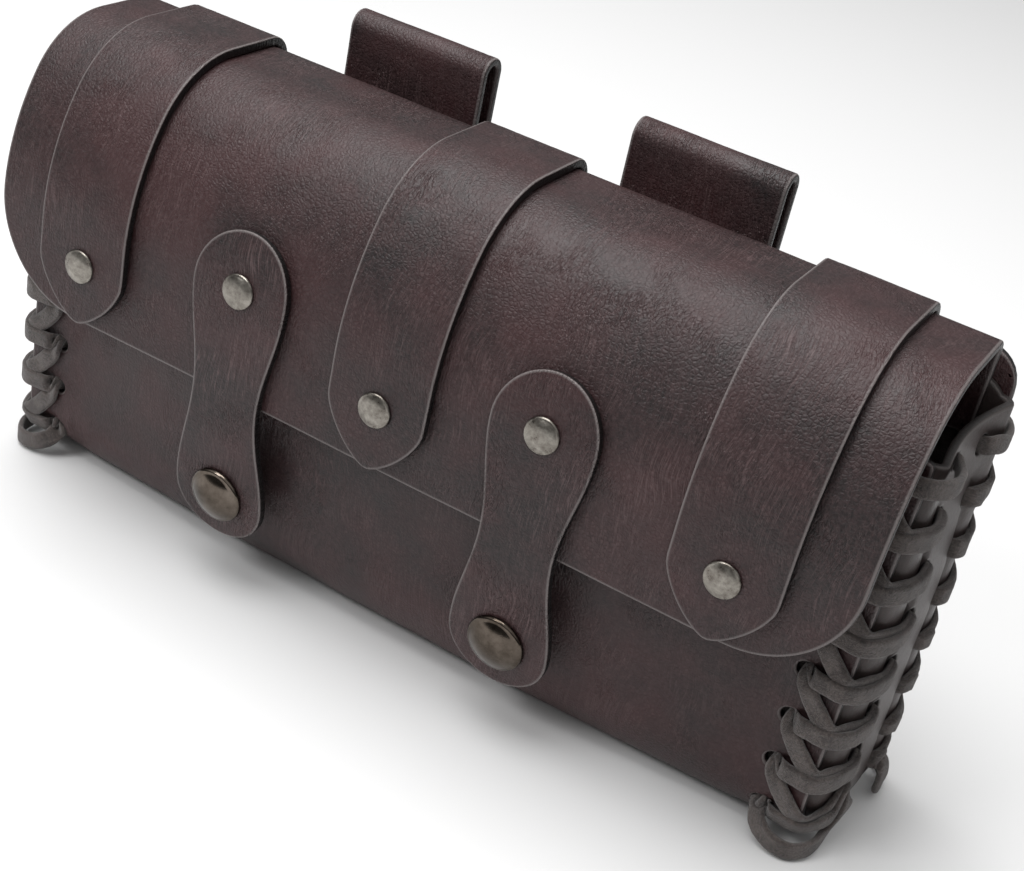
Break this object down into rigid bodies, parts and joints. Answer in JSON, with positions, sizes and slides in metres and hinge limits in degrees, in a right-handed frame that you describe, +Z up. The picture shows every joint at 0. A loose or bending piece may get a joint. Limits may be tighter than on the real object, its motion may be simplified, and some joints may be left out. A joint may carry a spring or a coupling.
{
  "type": "belt pouch",
  "caption": "Wide belt pouch of dark leather: strapped flap over a folded body, laced side gussets, press-stud closing tabs and belt loops at the back.",
  "frame": {"origin": "on the floor under the middle of the box round all the pieces", "axes": "+X along the pouch to its left side as worn on the wearer's front (the viewer's right when the flap faces them), +Y to the back where the belt loops are, +Z up; the flap and tabs face -Y"},
  "size_m": [0.25, 0.0704, 0.1377],
  "materials": {
    "body_leather": "creased dark brown leather with a red cast, satin",
    "strap_leather": "creased dark brown leather, satin, with rubbed grey-brown edges",
    "gusset_leather": "smoother grey-brown leather, satin",
    "rivet_metal": "worn nickel plate",
    "snap_metal": "polished domed cap"
  },
  "bodies": {
    "root": {"body_panel": "body_leather", "gusset_left": "gusset_leather", "gusset_right": "gusset_leather", "flap": "body_leather", "strap_left": "strap_leather", "rivet_strap_left": "rivet_metal", "rivet_back_left": "rivet_metal", "strap_middle": "strap_leather", "rivet_strap_middle": "rivet_metal", "rivet_back_middle": "rivet_metal", "strap_right": "strap_leather", "rivet_strap_right": "rivet_metal", "rivet_back_right": "rivet_metal", "tab_left": "strap_leather", "rivet_tab_left": "rivet_metal", "snap_cap_left": "snap_metal", "snap_stud_left": "rivet_metal", "tab_right": "strap_leather", "rivet_tab_right": "rivet_metal", "snap_cap_right": "snap_metal", "snap_stud_right": "rivet_metal", "belt_loop_left": "strap_leather", "rivet_loop_left_outer": "rivet_metal", "rivet_loop_left_inner": "rivet_metal", "belt_loop_right": "strap_leather", "rivet_loop_right_outer": "rivet_metal", "rivet_loop_right_inner": "rivet_metal"}
  },
  "joints": []
}
